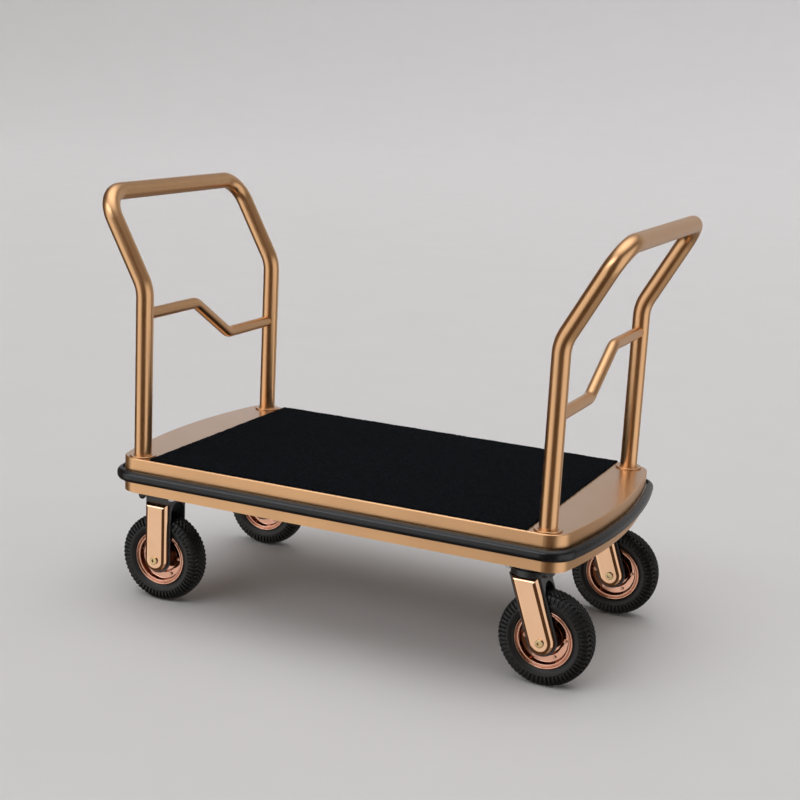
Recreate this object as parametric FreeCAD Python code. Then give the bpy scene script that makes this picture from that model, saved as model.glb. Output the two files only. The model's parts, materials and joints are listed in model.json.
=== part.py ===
import FreeCAD, Part
import math
import os

# Hotel luggage cart: a carpeted deck in a bronze tray on two rigid and two swivel
# pneumatic casters, with a leaning tube hoop and a stepped cross bar at each end.
# Frame: +X along the deck, +Y across it, +Z up, origin on the floor under its centre.
# Front is -Y and rear is +Y. The rigid casters are at -X, the swivel casters at +X.

V = FreeCAD.Vector
X_AXIS = V(1, 0, 0)
Y_AXIS = V(0, 1, 0)

# ---- fits (mm): clearance holes, assembled parts, turning parts ----
HOLE_GAP = 0.3
FIT_GAP = 0.1
RUNNING_GAP = 0.06

# ---- deck ----
DECK_TOP = 337.0
SKIRT_BOTTOM = 259.0
DECK_HALF_LENGTH = 546.0
DECK_HALF_WIDTH = 307.0
END_BOW = 36.0
CORNER_RADIUS = 45.0
PAN_SHEET = 2.0
PAN_EDGE_RADIUS = 3.0
BOARD_THICKNESS = 15.0
BOARD_GAP = 1.0
BOARD_TOP = DECK_TOP - PAN_SHEET
BOARD_BOTTOM = BOARD_TOP - BOARD_THICKNESS
CARPET_HALF_LENGTH = 439.0
CARPET_HALF_WIDTH = 304.0
CARPET_THICKNESS = 4.0

# ---- rubber bumper round the skirt ----
BUMPER_LOW = 283.5
BUMPER_HIGH = 309.0
BUMPER_REACH = 17.5
BUMPER_GAP = 2.0
BUMPER_FILLET = 11.0
BUMPER_GROOVE = 6.2
BUMPER_GROOVE_DEPTH = 4.0
TRACK_LOW = 287.5
TRACK_HIGH = 303.5
TRACK_REACH = 4.0

# ---- tube hoops and cross bars ----
POST_X = 473.0
POST_Y = 275.0
TUBE_RADIUS = 19.0
TUBE_WALL = 1.6
KINK_Z = 710.0
KINK_RADIUS = 85.0
TOP_X = 582.3
TOP_Z = 905.5
TOP_CORNER_RADIUS = 60.0
BAR_RADIUS = 12.7
BAR_WALL = 1.5
BAR_HIGH_Z = 652.3
BAR_LOW_Z = 563.4
BAR_JOG_Y = 73.0
BAR_BEND_RADIUS = 40.0
BAR_TRIM = 50.0

# ---- post feet: collar, plug, stud and cap nut ----
COLLAR_SEAT_RADIUS = 27.3
COLLAR_SEAT_HEIGHT = 1.0
COLLAR_RADIUS = 29.0
COLLAR_HEIGHT = 3.2
COLLAR_CHAMFER = 0.6
COLLAR_LIP_RADIUS = 21.2
COLLAR_LIP_HEIGHT = 4.4
PLUG_TOP = 300.0
STUD_RADIUS = 5.0
STUD_TOP = 298.0
STUD_BOTTOM = 242.0
CAP_NUT_FLATS = 16.0
CAP_NUT_HEX_BOTTOM = 245.0
CAP_NUT_BORE_BOTTOM = STUD_BOTTOM - 0.5
CAP_DOME_RADIUS = 7.8

# ---- steel underframe ----
PAD_TOP = SKIRT_BOTTOM + 6.0
PAD_HALF = 60.0
RAIL_Y = 232.0
RAIL_WIDTH = 30.0
RAIL_WALL = 2.5
RAIL_HALF_LENGTH = 500.0
CROSS_X = 145.0

# ---- casters ----
WHEEL_RADIUS = 100.0
BOLT_DX = 38.0
BOLT_DY = 40.0
CASTER_X = POST_X - BOLT_DX
CASTER_Y = POST_Y - BOLT_DY
RIGID_AXLE_X = -438.0
SWIVEL_TRAIL = 39.0
FORK_RAKE = 19.0
PLATE_THICKNESS = 5.0
PLATE_HALF_X = 53.0
PLATE_HALF_Y = 55.0
PLATE_CORNER_RADIUS = 8.0
PLATE_BOTTOM = SKIRT_BOTTOM - PLATE_THICKNESS
LEG_INNER = 26.5
LEG_THICKNESS = 3.5
LEG_OUTER = LEG_INNER + LEG_THICKNESS
LEG_HALF_WIDTH = 32.0
LEG_SPAN_X = 150.0
LEG_SPAN_Y = 60.0
WEB_THICKNESS = 3.5
ARCH_RADIUS = 26.5
ARCH_REACH = 60.0
ARCH_DROP = 70.0
RIGID_WEB_BOTTOM = 214.0
RIGID_ARCH_Z = 206.0
SWIVEL_ARCH_Z = 191.0
FRONT_WEB_BOTTOM = 194.0
BACK_WEB_BOTTOM = 200.0
COVER_HALF_WIDTH = 27.5
COVER_OUTER = 43.5
COVER_WALL = 1.5
COVER_EDGE_RADIUS = 11.5
COVER_TOP = 230.5

# ---- caster bolts ----
CASTER_BOLT_RADIUS = 4.0
CASTER_BOLT_END = 244.0
CASTER_BOLT_FLATS = 13.0
CASTER_BOLT_HEAD = 5.3
CASTER_NUT_HEIGHT = 6.5
CASTER_WASHER_RADIUS = 8.0
CASTER_WASHER_HEIGHT = 1.6

# ---- swivel head ----
RACE_RADIUS = 44.5
RACE_WALL = 4.0
RACE_BOTTOM = 246.5
CROWN_RADIUS = 45.0
CROWN_TOP = 244.8
CROWN_PLATE = 5.0
CROWN_RIM = 4.0
CROWN_BOTTOM = 231.0
CROWN_EDGE_RADIUS = 2.0
BALL_RADIUS = 4.2
BALL_RING_RADIUS = 33.0
BALL_COUNT = 20
KINGPIN_RADIUS = 8.0
PIN_HEAD_RADIUS = 13.0
PIN_HEAD_HEIGHT = 5.0
PIN_HEAD_SPACE = 1.0
PIN_WASHER_RADIUS = 16.0
PIN_WASHER_HEIGHT = 3.0
PIN_NUT_FLATS = 24.0
PIN_NUT_HEIGHT = 9.0
PIN_OVERRUN = 2.0
THRUST_GAP = 0.3

# ---- wheels: distances from the wheel's middle plane are called "out" ----
TYRE_HALF_WIDTH = 24.8
TYRE_SHELL = 5.0
BEAD_OUT = 15.5
BEAD_RADIUS = 53.0
RIM_SHEET = 2.2
LIP_RADIUS = 62.5
LIP_OUT = 22.0
WALL_OUTER = BEAD_RADIUS - 0.2
WALL_INNER = WALL_OUTER - RIM_SHEET
ANNULUS_OUT = 9.0
ANNULUS_DISH = 0.85
DISC_OUT = 2.6
DISC_BACK = 0.4
HUB_RADIUS = 19.0
HUB_HALF_LENGTH = 22.0
HUB_BORE_GAP = 1.0
BEARING_RADIUS = 16.0
BEARING_WIDTH = 9.0
BEARING_SEAT_GAP = 0.05
SHIELD_INSET = 1.8
SHIELD_DEPTH = 0.7
SLEEVE_RADIUS = 9.0

# ---- axle bolt and nut ----
AXLE_RADIUS = 6.0
AXLE_HOLE_REACH = 80.0
AXLE_OVERRUN = 2.0
HEAD_RADIUS = 8.8
HEAD_HEIGHT = 3.6
HEAD_EDGE_RADIUS = 1.2
SOCKET_FLATS = 8.0
SOCKET_FLOOR = 0.8
AXLE_NUT_FLATS = 17.0
AXLE_NUT_HEIGHT = 6.0

# ---- rim bolts ----
RIM_BOLT_CIRCLE = 43.0
RIM_BOLT_COUNT = 6
RIM_BOLT_PHASE = 2.0
RIM_BOLT_RADIUS = 2.0
RIM_BOLT_FLATS = 6.5
RIM_BOLT_HEAD = 3.2
RIM_BOLT_OVERRUN = 5.0
RIM_NUT_HEIGHT = 4.4
RIM_SEAT_OUT = 8.6
RIM_SEAT_RADIUS = 4.4
RIM_SPACER_RADIUS = 4.0
RIM_HOLE_REACH = 15.0

# ---- inner tube and valve ----
TUBE_SKIN = 2.0
VALVE_RADIUS = 3.5
VALVE_SPACE = 0.5
VALVE_ANGLE = 92.0
VALVE_ROOT = 55.5
VALVE_CIRCLE = 44.5
VALVE_BEND = 4.5
VALVE_END = 20.0


# ---------------------------------------------------------------- helpers
def export(name, shape):
    """Write one sub-part; a group of separate pieces stays a compound."""
    if not shape.isValid():
        raise ValueError("invalid shape: " + name)
    shape.exportStep(os.path.join("parts", name + ".step"))
    print(name, len(shape.Solids), round(shape.Volume / 1000.0, 1), "cm3")


def group(solids):
    return Part.makeCompound(solids)


def box(low, high):
    size = [b - a for a, b in zip(low, high)]
    return Part.makeBox(size[0], size[1], size[2], V(*low))


def cylinder(radius, start, end):
    start, end = V(*start), V(*end)
    return Part.makeCylinder(radius, (end - start).Length, start, end - start)


def tube(outer, inner, start, end):
    return cylinder(outer, start, end).cut(cylinder(inner, start, end))


def hexagon(flats, start, end):
    """Hexagonal prism along Z or Y between two points, with its across-flats size."""
    start, end = V(*start), V(*end)
    along = end - start
    side = X_AXIS
    other = along.normalize().cross(side)
    corner = flats / math.sqrt(3.0)
    points = []
    for step in range(7):
        angle = math.radians(60 * step)
        points.append(start + side * (corner * math.cos(angle)) + other * (corner * math.sin(angle)))
    return Part.Face(Part.makePolygon(points)).extrude(end - start)


def rounded_edges(points, radii, closed=False):
    """Straight runs joined by tangent arcs of the given radii at the inner points."""
    points = [V(*p) for p in points]
    count = len(points)
    starts, arcs = [], []
    for i in range(count):
        if not closed and i in (0, count - 1):
            starts.append((points[i], points[i]))
            arcs.append(None)
            continue
        before = (points[i - 1] - points[i]).normalize()
        after = (points[(i + 1) % count] - points[i]).normalize()
        half = before.getAngle(after) / 2.0
        radius = radii[i]
        if radius <= 0 or abs(half - math.pi / 2.0) < 1e-4:
            starts.append((points[i], points[i]))
            arcs.append(None)
            continue
        setback = radius / math.tan(half)
        middle = (before + after).normalize()
        centre = points[i] + middle * (radius / math.sin(half))
        enter, leave = points[i] + before * setback, points[i] + after * setback
        starts.append((enter, leave))
        arcs.append(Part.Arc(enter, centre - middle * radius, leave).toShape())
    edges = []
    last = count if closed else count - 1
    for i in range(count):
        if arcs[i] is not None:
            edges.append(arcs[i])
        if i < last:
            leave, enter = starts[i][1], starts[(i + 1) % count][0]
            if (enter - leave).Length > 1e-6:
                edges.append(Part.LineSegment(leave, enter).toShape())
    return edges


def pipe(points, radii, radius):
    """Round bar swept along straight runs joined by arcs."""
    path = Part.Wire(rounded_edges(points, radii))
    direction = V(*points[1]) - V(*points[0])
    ring = Part.Wire(Part.makeCircle(radius, V(*points[0]), direction))
    return path.makePipeShell([ring], True, False)


def prism(edges, low, high):
    """Extrude a closed outline drawn at z = 0 between two heights."""
    face = Part.Face(Part.Wire(edges))
    face.translate(V(0, 0, low))
    return face.extrude(V(0, 0, high - low))


def deck_outline(offset=0.0):
    """Deck plan: straight sides, bowed ends and round corners, all offset outwards."""
    end_radius = (DECK_HALF_WIDTH ** 2 + END_BOW ** 2) / (2.0 * END_BOW)
    end_centre = DECK_HALF_LENGTH - end_radius
    corner_y = DECK_HALF_WIDTH - CORNER_RADIUS
    reach = end_radius - CORNER_RADIUS
    corner_x = end_centre + math.sqrt(reach ** 2 - corner_y ** 2)
    tip_x = DECK_HALF_LENGTH + offset
    side_y = DECK_HALF_WIDTH + offset
    radius = CORNER_RADIUS + offset
    end_angle = math.atan2(corner_y, corner_x - end_centre)
    middle_angle = (end_angle + math.pi / 2.0) / 2.0

    def on_corner(sx, sy, angle):
        return V(sx * (corner_x + radius * math.cos(angle)),
                 sy * (corner_y + radius * math.sin(angle)), 0)

    edges = []
    for sx, sy in ((1, -1), (1, 1), (-1, 1), (-1, -1)):
        side_point = on_corner(sx, sy, math.pi / 2.0)
        middle_point = on_corner(sx, sy, middle_angle)
        end_point = on_corner(sx, sy, end_angle)
        corner = [side_point, middle_point, end_point]
        if sx * sy > 0:
            corner.reverse()
        edges.append(Part.Arc(*corner).toShape())
        if sx * sy < 0:
            tip = V(sx * tip_x, 0, 0)
            edges.append(Part.Arc(corner[2], tip, V(corner[2].x, -corner[2].y, 0)).toShape())
        else:
            edges.append(Part.LineSegment(V(sx * corner_x, sy * side_y, 0),
                                          V(-sx * corner_x, sy * side_y, 0)).toShape())
    return edges


def deck_prism(offset, low, high):
    return prism(deck_outline(offset), low, high)


def at_posts(make):
    """One copy of a piece at each of the four posts."""
    return [make(sx * POST_X, sy * POST_Y) for sx in (-1, 1) for sy in (-1, 1)]


def edges_at(shape, level):
    """Edges of a shape that lie wholly at one height."""
    found = []
    for edge in shape.Edges:
        bounds = edge.BoundBox
        if abs(bounds.ZMin - level) < 1e-3 and abs(bounds.ZMax - level) < 1e-3:
            found.append(edge)
    return found


# ---------------------------------------------------------------- deck
def post_holes(low, high):
    """Clearance holes for the four posts between two heights."""
    return group(at_posts(lambda x, y: cylinder(TUBE_RADIUS + HOLE_GAP, (x, y, low), (x, y, high))))


def deck_pan():
    outer = deck_prism(0, SKIRT_BOTTOM, DECK_TOP)
    outer = outer.makeFillet(PAN_EDGE_RADIUS, edges_at(outer, DECK_TOP))
    pan = outer.cut(deck_prism(-PAN_SHEET, SKIRT_BOTTOM, DECK_TOP - PAN_SHEET))
    return pan.cut(post_holes(SKIRT_BOTTOM, DECK_TOP))


def deck_board():
    board = deck_prism(-PAN_SHEET - BOARD_GAP, BOARD_BOTTOM, BOARD_TOP)
    return board.cut(post_holes(BOARD_BOTTOM, BOARD_TOP))


def carpet():
    return box((-CARPET_HALF_LENGTH, -CARPET_HALF_WIDTH, DECK_TOP),
               (CARPET_HALF_LENGTH, CARPET_HALF_WIDTH, DECK_TOP + CARPET_THICKNESS))


def hollow_bar(low, high, along):
    """Rectangular steel tube; along is 0 for X and 1 for Y."""
    inner_low = [v + RAIL_WALL for v in low]
    inner_high = [v - RAIL_WALL for v in high]
    inner_low[along], inner_high[along] = low[along], high[along]
    return box(low, high).cut(box(inner_low, inner_high))


def underframe():
    half = RAIL_WIDTH / 2.0
    parts = []
    for sy in (-1, 1):
        parts.append(hollow_bar((-RAIL_HALF_LENGTH, sy * RAIL_Y - half, PAD_TOP),
                                (RAIL_HALF_LENGTH, sy * RAIL_Y + half, BOARD_BOTTOM), 0))
        for sx in (-1, 1):
            x, y = sx * CASTER_X, sy * CASTER_Y
            parts.append(box((x - PAD_HALF, y - PAD_HALF, SKIRT_BOTTOM),
                             (x + PAD_HALF, y + PAD_HALF, PAD_TOP)))
    for x in (-CASTER_X, -CROSS_X, CROSS_X, CASTER_X):
        parts.append(hollow_bar((x - half, -RAIL_Y + half, PAD_TOP),
                                (x + half, RAIL_Y - half, BOARD_BOTTOM), 1))
    frame = parts[0].multiFuse(parts[1:]).removeSplitter()
    holes = at_posts(lambda x, y: cylinder(STUD_RADIUS + HOLE_GAP, (x, y, SKIRT_BOTTOM), (x, y, PAD_TOP)))
    for x, y in caster_bolt_places():
        holes.append(cylinder(CASTER_BOLT_RADIUS + HOLE_GAP, (x, y, SKIRT_BOTTOM), (x, y, PAD_TOP)))
    for sy in (-1, 1):
        place = (CASTER_X, sy * CASTER_Y)
        holes.append(cylinder(PIN_HEAD_RADIUS + PIN_HEAD_SPACE, (*place, SKIRT_BOTTOM), (*place, PAD_TOP)))
    return frame.cut(group(holes))


def bumper():
    """Rounded rubber strip that clips over the track, grooved along the skirt at its top."""
    solid = deck_prism(BUMPER_REACH, BUMPER_LOW, BUMPER_HIGH)
    rims = edges_at(solid, BUMPER_LOW) + edges_at(solid, BUMPER_HIGH)
    solid = solid.makeFillet(BUMPER_FILLET, rims)
    solid = solid.cut(deck_prism(BUMPER_GAP, BUMPER_LOW, BUMPER_HIGH))
    solid = solid.cut(deck_prism(BUMPER_GROOVE, BUMPER_HIGH - BUMPER_GROOVE_DEPTH, BUMPER_HIGH))
    return solid.cut(deck_prism(TRACK_REACH, TRACK_LOW, TRACK_HIGH))


def bumper_track():
    return deck_prism(TRACK_REACH, TRACK_LOW, TRACK_HIGH).cut(deck_prism(0, TRACK_LOW, TRACK_HIGH))


# ---------------------------------------------------------------- hoops
def hoop(side):
    """Tube hoop: up the front post, out and over the top, down the rear post."""
    points = [(side * POST_X, -POST_Y, PAD_TOP), (side * POST_X, -POST_Y, KINK_Z),
              (side * TOP_X, -POST_Y, TOP_Z), (side * TOP_X, POST_Y, TOP_Z),
              (side * POST_X, POST_Y, KINK_Z), (side * POST_X, POST_Y, PAD_TOP)]
    radii = [0, KINK_RADIUS, TOP_CORNER_RADIUS, TOP_CORNER_RADIUS, KINK_RADIUS, 0]
    return pipe(points, radii, TUBE_RADIUS).cut(pipe(points, radii, TUBE_RADIUS - TUBE_WALL))


def midbar(side):
    """Stepped cross bar: high at the front of the left hoop and the rear of the right one."""
    x = side * POST_X
    high_y = side * POST_Y
    jog_y = side * BAR_JOG_Y
    points = [(x, high_y, BAR_HIGH_Z), (x, jog_y, BAR_HIGH_Z),
              (x, -jog_y, BAR_LOW_Z), (x, -high_y, BAR_LOW_Z)]
    radii = [0, BAR_BEND_RADIUS, BAR_BEND_RADIUS, 0]
    bar = pipe(points, radii, BAR_RADIUS).cut(pipe(points, radii, BAR_RADIUS - BAR_WALL))
    for sy in (-1, 1):
        bar = bar.cut(cylinder(TUBE_RADIUS + FIT_GAP, (x, sy * POST_Y, BAR_LOW_Z - BAR_TRIM),
                               (x, sy * POST_Y, BAR_HIGH_Z + BAR_TRIM)))
    return bar


def post_collar(x, y):
    """Collar disc on a narrower seat, with a thin lip against the post."""

    def disc(radius, low, high):
        return cylinder(radius, (x, y, DECK_TOP + low), (x, y, DECK_TOP + high))

    plate = disc(COLLAR_RADIUS, COLLAR_SEAT_HEIGHT, COLLAR_HEIGHT)
    plate = plate.makeChamfer(COLLAR_CHAMFER, edges_at(plate, DECK_TOP + COLLAR_HEIGHT))
    ring = plate.multiFuse([disc(COLLAR_SEAT_RADIUS, 0, COLLAR_SEAT_HEIGHT),
                            disc(COLLAR_LIP_RADIUS, COLLAR_HEIGHT, COLLAR_LIP_HEIGHT)])
    return ring.cut(disc(TUBE_RADIUS + FIT_GAP, 0, COLLAR_LIP_HEIGHT))


def post_plug(x, y):
    plug = cylinder(TUBE_RADIUS - TUBE_WALL - FIT_GAP, (x, y, PAD_TOP), (x, y, PLUG_TOP))
    return plug.cut(cylinder(STUD_RADIUS + FIT_GAP, (x, y, PAD_TOP), (x, y, PLUG_TOP)))


def post_stud(x, y):
    return cylinder(STUD_RADIUS, (x, y, STUD_BOTTOM), (x, y, STUD_TOP))


def cap_nut(x, y):
    nut = hexagon(CAP_NUT_FLATS, (x, y, CAP_NUT_HEX_BOTTOM), (x, y, PLATE_BOTTOM))
    dome = Part.makeSphere(CAP_DOME_RADIUS, V(x, y, CAP_NUT_HEX_BOTTOM))
    nut = nut.fuse(dome)
    return nut.cut(cylinder(STUD_RADIUS + FIT_GAP, (x, y, CAP_NUT_BORE_BOTTOM), (x, y, PLATE_BOTTOM)))


# ---------------------------------------------------------------- caster bolts
def caster_bolt_places():
    """The three free corners of each caster plate; the fourth takes the post's stud."""
    places = []
    for sx in (-1, 1):
        for sy in (-1, 1):
            x, y = sx * CASTER_X, sy * CASTER_Y
            for dx, dy in ((-1, -1), (-1, 1), (1, -1)):
                places.append((x + sx * dx * BOLT_DX, y + sy * dy * BOLT_DY))
    return places


def caster_bolt(x, y):
    head = hexagon(CASTER_BOLT_FLATS, (x, y, PAD_TOP), (x, y, PAD_TOP + CASTER_BOLT_HEAD))
    return head.fuse(cylinder(CASTER_BOLT_RADIUS, (x, y, CASTER_BOLT_END), (x, y, PAD_TOP)))


def caster_nut(x, y):
    nut_top = PLATE_BOTTOM - CASTER_WASHER_HEIGHT
    nut = hexagon(CASTER_BOLT_FLATS, (x, y, nut_top - CASTER_NUT_HEIGHT), (x, y, nut_top))
    nut = nut.fuse(cylinder(CASTER_WASHER_RADIUS, (x, y, nut_top), (x, y, PLATE_BOTTOM)))
    return nut.cut(cylinder(CASTER_BOLT_RADIUS + FIT_GAP, (x, y, CASTER_BOLT_END), (x, y, PLATE_BOTTOM)))


def top_plate(x, y):
    """Caster plate with a hole at each corner; all four share one pattern."""
    low = (x - PLATE_HALF_X, y - PLATE_HALF_Y, PLATE_BOTTOM)
    plate = box(low, (x + PLATE_HALF_X, y + PLATE_HALF_Y, SKIRT_BOTTOM))
    upright = [e for e in plate.Edges if abs(e.BoundBox.ZLength - PLATE_THICKNESS) < 1e-6]
    plate = plate.makeFillet(PLATE_CORNER_RADIUS, upright)
    holes = []
    for dx in (-BOLT_DX, BOLT_DX):
        for dy in (-BOLT_DY, BOLT_DY):
            holes.append(cylinder(STUD_RADIUS + HOLE_GAP, (x + dx, y + dy, PLATE_BOTTOM),
                                  (x + dx, y + dy, SKIRT_BOTTOM)))
    return plate.cut(group(holes))


# ---------------------------------------------------------------- forks and covers
def leg_outline(axle_x, rake, half_width, top):
    """Side view of a raked leg: round about the axle, cut level at the top, drawn in XZ."""
    angle = math.radians(rake)
    up = V(-math.sin(angle), 0, math.cos(angle))
    across = V(math.cos(angle), 0, math.sin(angle))
    axle = V(axle_x, 0, WHEEL_RADIUS)
    front, back = axle + across * half_width, axle - across * half_width
    low = axle - up * half_width
    front_top = front + up * ((top - front.z) / up.z)
    back_top = back + up * ((top - back.z) / up.z)
    return Part.Wire([Part.Arc(back, low, front).toShape(),
                      Part.LineSegment(front, front_top).toShape(),
                      Part.LineSegment(front_top, back_top).toShape(),
                      Part.LineSegment(back_top, back).toShape()])


def slab(outline, y_from, y_to):
    face = Part.Face(outline)
    face.translate(V(0, y_from, 0))
    return face.extrude(V(0, y_to - y_from, 0))


def axle_hole(x, y, radius):
    return cylinder(radius, (x, y - AXLE_HOLE_REACH, WHEEL_RADIUS),
                    (x, y + AXLE_HOLE_REACH, WHEEL_RADIUS))


def both_legs(axle_x, wheel_y, rake, top):
    outline = leg_outline(axle_x, rake, LEG_HALF_WIDTH, top)
    return [slab(outline, wheel_y + side * LEG_INNER, wheel_y + side * LEG_OUTER) for side in (-1, 1)]


def arch(x, y, z):
    """Round-topped way through a fork web, along X and open below."""
    way = cylinder(ARCH_RADIUS, (x - ARCH_REACH, y, z), (x + ARCH_REACH, y, z))
    return way.fuse(box((x - ARCH_REACH, y - ARCH_RADIUS, z - ARCH_DROP),
                        (x + ARCH_REACH, y + ARCH_RADIUS, z)))


def rigid_fork(side_y):
    """Rigid caster frame: top plate, two upright legs and an arched web at each end."""
    y = side_y * CASTER_Y
    plate = top_plate(-CASTER_X, y)
    legs = both_legs(RIGID_AXLE_X, y, 0.0, PLATE_BOTTOM)
    webs = []
    for side in (-1, 1):
        outer = RIGID_AXLE_X + side * LEG_HALF_WIDTH
        inner = outer - side * WEB_THICKNESS
        webs.append(box((min(inner, outer), y - LEG_OUTER, RIGID_WEB_BOTTOM),
                        (max(inner, outer), y + LEG_OUTER, PLATE_BOTTOM)))
    web = webs[0].fuse(webs[1]).cut(arch(RIGID_AXLE_X, y, RIGID_ARCH_Z))
    fork = plate.multiFuse(legs + [web]).removeSplitter()
    return fork.cut(axle_hole(RIGID_AXLE_X, y, AXLE_RADIUS + FIT_GAP))


def raked_web(axle_x, y, edge, thickness, low, high):
    """Web that follows one raked edge of the legs."""
    slope = math.tan(math.radians(FORK_RAKE))
    reach = LEG_HALF_WIDTH / math.cos(math.radians(FORK_RAKE))

    def edge_x(z, inset):
        return axle_x - (z - WHEEL_RADIUS) * slope + edge * (reach - inset)

    points = [V(edge_x(low, 0), 0, low), V(edge_x(high, 0), 0, high),
              V(edge_x(high, thickness), 0, high), V(edge_x(low, thickness), 0, low)]
    return slab(Part.makePolygon(points + points[:1]), y - LEG_OUTER, y + LEG_OUTER)


def swivel_fork(side_y):
    """Swivel caster frame: turned crown cup, two raked legs, and webs in front and behind."""
    y = side_y * CASTER_Y
    axle_x = CASTER_X + SWIVEL_TRAIL
    cup_roof = CROWN_TOP - CROWN_PLATE

    def disc(radius, low, high):
        return cylinder(radius, (CASTER_X, y, low), (CASTER_X, y, high))

    crown = disc(CROWN_RADIUS, CROWN_BOTTOM, CROWN_TOP)
    round_top = crown.copy()
    crown = crown.makeFillet(CROWN_EDGE_RADIUS, edges_at(crown, CROWN_TOP))
    crown = crown.cut(disc(CROWN_RADIUS - CROWN_RIM, CROWN_BOTTOM, cup_roof))
    legs = both_legs(axle_x, y, FORK_RAKE, cup_roof)
    front_web = raked_web(axle_x, y, 1, WEB_THICKNESS, FRONT_WEB_BOTTOM, cup_roof)
    back_web = raked_web(axle_x, y, -1, WEB_THICKNESS, BACK_WEB_BOTTOM, cup_roof)
    web = front_web.fuse(back_web).cut(arch(CASTER_X, y, SWIVEL_ARCH_Z))
    below = box((CASTER_X - LEG_SPAN_X, y - LEG_SPAN_Y, 0),
                (CASTER_X + LEG_SPAN_X, y + LEG_SPAN_Y, CROWN_BOTTOM))
    body = legs[0].multiFuse([legs[1], web]).common(round_top.fuse(below))
    fork = crown.fuse(body).removeSplitter()
    fork = fork.cut(disc(KINGPIN_RADIUS + RUNNING_GAP, CROWN_BOTTOM, CROWN_TOP))
    return fork.cut(axle_hole(axle_x, y, AXLE_RADIUS + FIT_GAP))


def edges_on(shape, y):
    """Edges of a shape that lie wholly in one plane across Y."""
    found = []
    for edge in shape.Edges:
        bounds = edge.BoundBox
        if abs(bounds.YMin - y) < 1e-3 and abs(bounds.YMax - y) < 1e-3:
            found.append(edge)
    return found


def fork_cover(axle_x, wheel_y, rake, side):
    """Pressed bronze cap over one leg, open towards the leg, with rounded face edges."""

    def block(inset):
        outline = leg_outline(axle_x, rake, COVER_HALF_WIDTH - inset, COVER_TOP - inset)
        face_y = wheel_y + side * (COVER_OUTER - inset)
        solid = slab(outline, wheel_y + side * LEG_OUTER, face_y)
        return solid.makeFillet(COVER_EDGE_RADIUS - inset, edges_on(solid, face_y))

    return block(0.0).cut(block(COVER_WALL)).cut(axle_hole(axle_x, wheel_y, AXLE_RADIUS + FIT_GAP))


def fork_covers(axle_x, wheel_y, rake):
    return group([fork_cover(axle_x, wheel_y, rake, side) for side in (-1, 1)])


def axle_set(axle_x, wheel_y):
    """Axle bolt with a round socket head, its nut, the hub sleeve and two cover spacers."""
    face = -COVER_OUTER - HEAD_HEIGHT
    nut_end = COVER_OUTER + AXLE_NUT_HEIGHT

    def at(out):
        return (axle_x, wheel_y + out, WHEEL_RADIUS)

    def sleeve(start, end):
        return tube(SLEEVE_RADIUS, AXLE_RADIUS + FIT_GAP, at(start), at(end))

    head = cylinder(HEAD_RADIUS, at(face), at(-COVER_OUTER))
    head = head.makeFillet(HEAD_EDGE_RADIUS, edges_on(head, wheel_y + face))
    head = head.cut(hexagon(SOCKET_FLATS, at(face), at(-COVER_OUTER - SOCKET_FLOOR)))
    bolt = head.fuse(cylinder(AXLE_RADIUS, at(-COVER_OUTER), at(nut_end + AXLE_OVERRUN)))
    nut = hexagon(AXLE_NUT_FLATS, at(COVER_OUTER), at(nut_end))
    nut = nut.cut(cylinder(AXLE_RADIUS + FIT_GAP, at(COVER_OUTER), at(nut_end)))
    cover_inside = COVER_OUTER - COVER_WALL
    return group([bolt, nut, sleeve(-LEG_INNER, LEG_INNER), sleeve(LEG_OUTER, cover_inside),
                  sleeve(-cover_inside, -LEG_OUTER)])


# ---------------------------------------------------------------- swivel head
def swivel_plate(side_y):
    y = side_y * CASTER_Y
    hole = cylinder(KINGPIN_RADIUS + FIT_GAP, (CASTER_X, y, PLATE_BOTTOM), (CASTER_X, y, SKIRT_BOTTOM))
    plate = top_plate(CASTER_X, y).cut(hole)
    race = tube(RACE_RADIUS, RACE_RADIUS - RACE_WALL, (CASTER_X, y, RACE_BOTTOM), (CASTER_X, y, PLATE_BOTTOM))
    return plate.fuse(race).removeSplitter()


def kingpin(side_y):
    """Kingpin with a flat head above the plate, a thrust washer and a nut below the crown."""
    washer_top = CROWN_TOP - CROWN_PLATE - THRUST_GAP
    nut_top = washer_top - PIN_WASHER_HEIGHT
    nut_bottom = nut_top - PIN_NUT_HEIGHT

    def at(z):
        return (CASTER_X, side_y * CASTER_Y, z)

    pin = cylinder(PIN_HEAD_RADIUS, at(SKIRT_BOTTOM), at(SKIRT_BOTTOM + PIN_HEAD_HEIGHT))
    pin = pin.fuse(cylinder(KINGPIN_RADIUS, at(nut_bottom - PIN_OVERRUN), at(SKIRT_BOTTOM)))
    washer = tube(PIN_WASHER_RADIUS, KINGPIN_RADIUS + FIT_GAP, at(nut_top), at(washer_top))
    nut = hexagon(PIN_NUT_FLATS, at(nut_bottom), at(nut_top))
    nut = nut.cut(cylinder(KINGPIN_RADIUS + FIT_GAP, at(nut_bottom), at(nut_top)))
    return group([pin, washer, nut])


def head_balls(side_y):
    y = side_y * CASTER_Y
    z = (PLATE_BOTTOM + CROWN_TOP) / 2.0
    balls = []
    for step in range(BALL_COUNT):
        angle = 2.0 * math.pi * step / BALL_COUNT
        centre = V(CASTER_X + BALL_RING_RADIUS * math.cos(angle),
                   y + BALL_RING_RADIUS * math.sin(angle), z)
        balls.append(Part.makeSphere(BALL_RADIUS, centre))
    return group(balls)


# ---------------------------------------------------------------- wheels
def turned(points, radii, x, y, side=1):
    """Revolve a (radius, out) section about the wheel's axis at (x, y)."""
    section = [(x + r, y + side * out, WHEEL_RADIUS) for r, out in points]
    face = Part.Face(Part.Wire(rounded_edges(section, radii, closed=True)))
    return face.revolve(V(x, y, WHEEL_RADIUS), Y_AXIS, 360)


def mirrored(points, sign):
    return [(r, sign * out) for r, out in points]


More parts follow.
